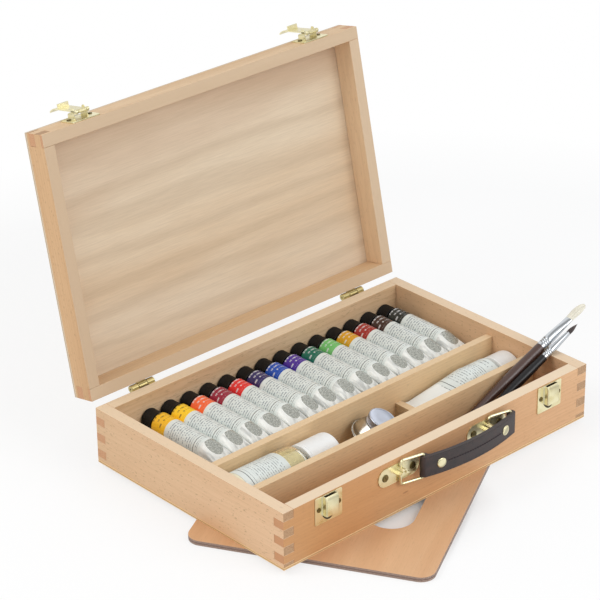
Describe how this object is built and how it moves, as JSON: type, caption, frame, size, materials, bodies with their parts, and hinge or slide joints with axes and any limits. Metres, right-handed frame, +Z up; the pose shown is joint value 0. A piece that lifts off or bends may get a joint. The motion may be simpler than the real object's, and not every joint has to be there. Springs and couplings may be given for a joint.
{
  "type": "art supply box",
  "caption": "Finger-jointed wooden box with a hinged lid, brass latches and a strap handle, packed with paint tubes, a bottle, a dipper and brushes, standing on a wooden palette.",
  "frame": {"origin": "on the surface that the palette lies on, under the middle of the box's base", "axes": "+X to the right along the front, +Y from the front to the back, +Z up"},
  "size_m": [0.4739, 0.467, 0.3342],
  "materials": {
    "beech_side": "satin",
    "beech_front": "satin",
    "plywood": "satin",
    "divider_wood": "matte",
    "palette_wood": "satin",
    "clear_tray": "glossy",
    "brass": "satin",
    "strap_leather": "satin",
    "bottle_glass": "glossy",
    "oil": "glossy",
    "white_cap": "glossy",
    "white_tube": "satin",
    "dipper_steel": "polished",
    "flat_handle_paint": "lacquered",
    "round_handle_paint": "lacquered",
    "ferrule": "polished",
    "bristles_light": "fibrous",
    "bristles_dark": "fibrous",
    "tube_golden_yellow": "printed label",
    "tube_yellow": "printed label",
    "tube_orange_red": "printed label",
    "tube_crimson": "printed label",
    "tube_red": "printed label",
    "tube_indigo": "printed label",
    "tube_ultramarine": "printed label",
    "tube_violet": "printed label",
    "tube_viridian": "printed label",
    "tube_light_green": "printed label",
    "tube_ochre": "printed label",
    "tube_brick_red": "printed label",
    "tube_umber": "printed label",
    "tube_black": "printed label"
  },
  "bodies": {
    "base": {"base_left_wall": "beech_side", "base_right_wall": "beech_side", "base_front_wall": "beech_front", "base_back_wall": "beech_front", "base_floor": "plywood", "rear_divider": "divider_wood", "front_divider": "divider_wood", "cross_partition": "divider_wood", "catch_keepers": "brass", "base_screws": "brass", "handle_plate_left": "brass", "handle_plate_right": "brass", "base_hinge_leaves": "brass", "hinge_pins": "brass"},
    "lid": {"lid_left_rail": "beech_side", "lid_right_rail": "beech_side", "lid_front_rail": "beech_front", "lid_back_rail": "beech_front", "lid_panel": "plywood", "lid_hinge_leaves": "brass", "latch_plates": "brass", "latch_pins": "brass", "lid_screws": "brass"},
    "hasp_left": {"hasp_left": "brass"},
    "hasp_right": {"hasp_right": "brass"},
    "ring_left": {"handle_ring_left": "brass"},
    "ring_right": {"handle_ring_right": "brass"},
    "strap": {"handle_strap": "strap_leather", "strap_rivets": "brass"},
    "tray": {"tube_tray": "clear_tray"},
    "tube_01": {"paint_tube_01": "tube_golden_yellow"},
    "tube_02": {"paint_tube_02": "tube_yellow"},
    "tube_03": {"paint_tube_03": "tube_orange_red"},
    "tube_04": {"paint_tube_04": "tube_crimson"},
    "tube_05": {"paint_tube_05": "tube_red"},
    "tube_06": {"paint_tube_06": "tube_indigo"},
    "tube_07": {"paint_tube_07": "tube_ultramarine"},
    "tube_08": {"paint_tube_08": "tube_violet"},
    "tube_09": {"paint_tube_09": "tube_viridian"},
    "tube_10": {"paint_tube_10": "tube_light_green"},
    "tube_11": {"paint_tube_11": "tube_ochre"},
    "tube_12": {"paint_tube_12": "tube_brick_red"},
    "tube_13": {"paint_tube_13": "tube_umber"},
    "tube_14": {"paint_tube_14": "tube_black"},
    "bottle": {"bottle_glass": "bottle_glass", "bottle_oil": "oil"},
    "bottle_cap": {"bottle_cap": "white_cap"},
    "white_tube": {"white_tube": "white_tube"},
    "white_tube_cap": {"white_tube_cap": "white_cap"},
    "dipper": {"dipper_cup": "dipper_steel"},
    "dipper_lid": {"dipper_lid": "dipper_steel"},
    "flat_brush": {"flat_brush_handle": "flat_handle_paint", "flat_brush_ferrule": "ferrule", "flat_brush_bristles": "bristles_light"},
    "round_brush": {"round_brush_handle": "round_handle_paint", "round_brush_ferrule": "ferrule", "round_brush_bristles": "bristles_dark"},
    "palette": {"palette": "palette_wood"}
  },
  "joints": [
    {"name": "lid_hinge", "type": "hinge", "parent": "base", "child": "lid", "pos_m": [0, 0.1355, 0.06465], "axis": [-1, 0, 0], "range_deg": [-102, 0]},
    {"name": "hasp_left_pin", "type": "hinge", "parent": "lid", "child": "hasp_left", "pos_m": [-0.146, 0.19971, 0.33235], "axis": [-1, 0, 0], "range_deg": [-180, 0]},
    {"name": "hasp_right_pin", "type": "hinge", "parent": "lid", "child": "hasp_right", "pos_m": [0.146, 0.19971, 0.33235], "axis": [-1, 0, 0], "range_deg": [-180, 0]},
    {"name": "ring_left_swing", "type": "hinge", "parent": "base", "child": "ring_left", "pos_m": [-0.058, -0.1348, 0.0495], "axis": [0, 0, -1], "range_deg": [-4, 158]},
    {"name": "strap_turn", "type": "hinge", "parent": "ring_left", "child": "strap", "pos_m": [-0.03302, -0.14038, 0.0495], "axis": [0, 0, -1], "range_deg": [-158, 4]},
    {"name": "ring_right_swing", "type": "hinge", "parent": "base", "child": "ring_right", "pos_m": [0.058, -0.1348, 0.0495], "axis": [0, 0, -1], "range_deg": [-4, 158]},
    {"name": "tray_lift", "type": "slide", "parent": "base", "child": "tray", "axis": [0, 0, 1], "range_m": [0, 0.07]},
    {"name": "tube_01_lift", "type": "slide", "parent": "tray", "child": "tube_01", "axis": [0, 0, 1], "range_m": [0, 0.04]},
    {"name": "tube_02_lift", "type": "slide", "parent": "tray", "child": "tube_02", "axis": [0, 0, 1], "range_m": [0, 0.04]},
    {"name": "tube_03_lift", "type": "slide", "parent": "tray", "child": "tube_03", "axis": [0, 0, 1], "range_m": [0, 0.04]},
    {"name": "tube_04_lift", "type": "slide", "parent": "tray", "child": "tube_04", "axis": [0, 0, 1], "range_m": [0, 0.04]},
    {"name": "tube_05_lift", "type": "slide", "parent": "tray", "child": "tube_05", "axis": [0, 0, 1], "range_m": [0, 0.04]},
    {"name": "tube_06_lift", "type": "slide", "parent": "tray", "child": "tube_06", "axis": [0, 0, 1], "range_m": [0, 0.04]},
    {"name": "tube_07_lift", "type": "slide", "parent": "tray", "child": "tube_07", "axis": [0, 0, 1], "range_m": [0, 0.04]},
    {"name": "tube_08_lift", "type": "slide", "parent": "tray", "child": "tube_08", "axis": [0, 0, 1], "range_m": [0, 0.04]},
    {"name": "tube_09_lift", "type": "slide", "parent": "tray", "child": "tube_09", "axis": [0, 0, 1], "range_m": [0, 0.04]},
    {"name": "tube_10_lift", "type": "slide", "parent": "tray", "child": "tube_10", "axis": [0, 0, 1], "range_m": [0, 0.04]},
    {"name": "tube_11_lift", "type": "slide", "parent": "tray", "child": "tube_11", "axis": [0, 0, 1], "range_m": [0, 0.04]},
    {"name": "tube_12_lift", "type": "slide", "parent": "tray", "child": "tube_12", "axis": [0, 0, 1], "range_m": [0, 0.04]},
    {"name": "tube_13_lift", "type": "slide", "parent": "tray", "child": "tube_13", "axis": [0, 0, 1], "range_m": [0, 0.04]},
    {"name": "tube_14_lift", "type": "slide", "parent": "tray", "child": "tube_14", "axis": [0, 0, 1], "range_m": [0, 0.04]},
    {"name": "bottle_lift", "type": "slide", "parent": "base", "child": "bottle", "axis": [0, 0, 1], "range_m": [0, 0.08]},
    {"name": "bottle_cap_turn", "type": "hinge", "parent": "bottle", "child": "bottle_cap", "pos_m": [-0.1, -0.04225, 0.0318], "axis": [1, 0, 0], "continuous": true},
    {"name": "white_tube_lift", "type": "slide", "parent": "base", "child": "white_tube", "axis": [0, 0, 1], "range_m": [0, 0.08]},
    {"name": "white_tube_cap_turn", "type": "hinge", "parent": "white_tube", "child": "white_tube_cap", "pos_m": [0.15, -0.04225, 0.0293], "axis": [1, 0, 0], "continuous": true},
    {"name": "dipper_lift", "type": "slide", "parent": "base", "child": "dipper", "axis": [0, 0, 1], "range_m": [0, 0.08]},
    {"name": "dipper_lid_turn", "type": "hinge", "parent": "dipper", "child": "dipper_lid", "pos_m": [-0.0004, -0.04012, 0.02548], "axis": [0.1765, -0.3717, 0.9114], "continuous": true},
    {"name": "flat_brush_fold", "type": "hinge", "parent": "base", "child": "flat_brush", "pos_m": [0.03921, -0.08382, 0.01025], "axis": [0, -1, 0], "range_deg": [0, 156]},
    {"name": "round_brush_fold", "type": "hinge", "parent": "base", "child": "round_brush", "pos_m": [0.04354, -0.09452, 0.01025], "axis": [0, -1, 0], "range_deg": [0, 156]},
    {"name": "palette_slide", "type": "slide", "parent": "base", "child": "palette", "axis": [-0.8704, -0.4924, 0], "range_m": [0, 0.15]}
  ],
  "couplings": [
    {"joint": "strap_turn", "follows": "ring_left_swing", "ratio": -1},
    {"joint": "ring_right_swing", "follows": "ring_left_swing", "ratio": 1},
    {"joint": "flat_brush_fold", "follows": "lid_hinge", "ratio": -1.5294},
    {"joint": "round_brush_fold", "follows": "lid_hinge", "ratio": -1.5294}
  ]
}
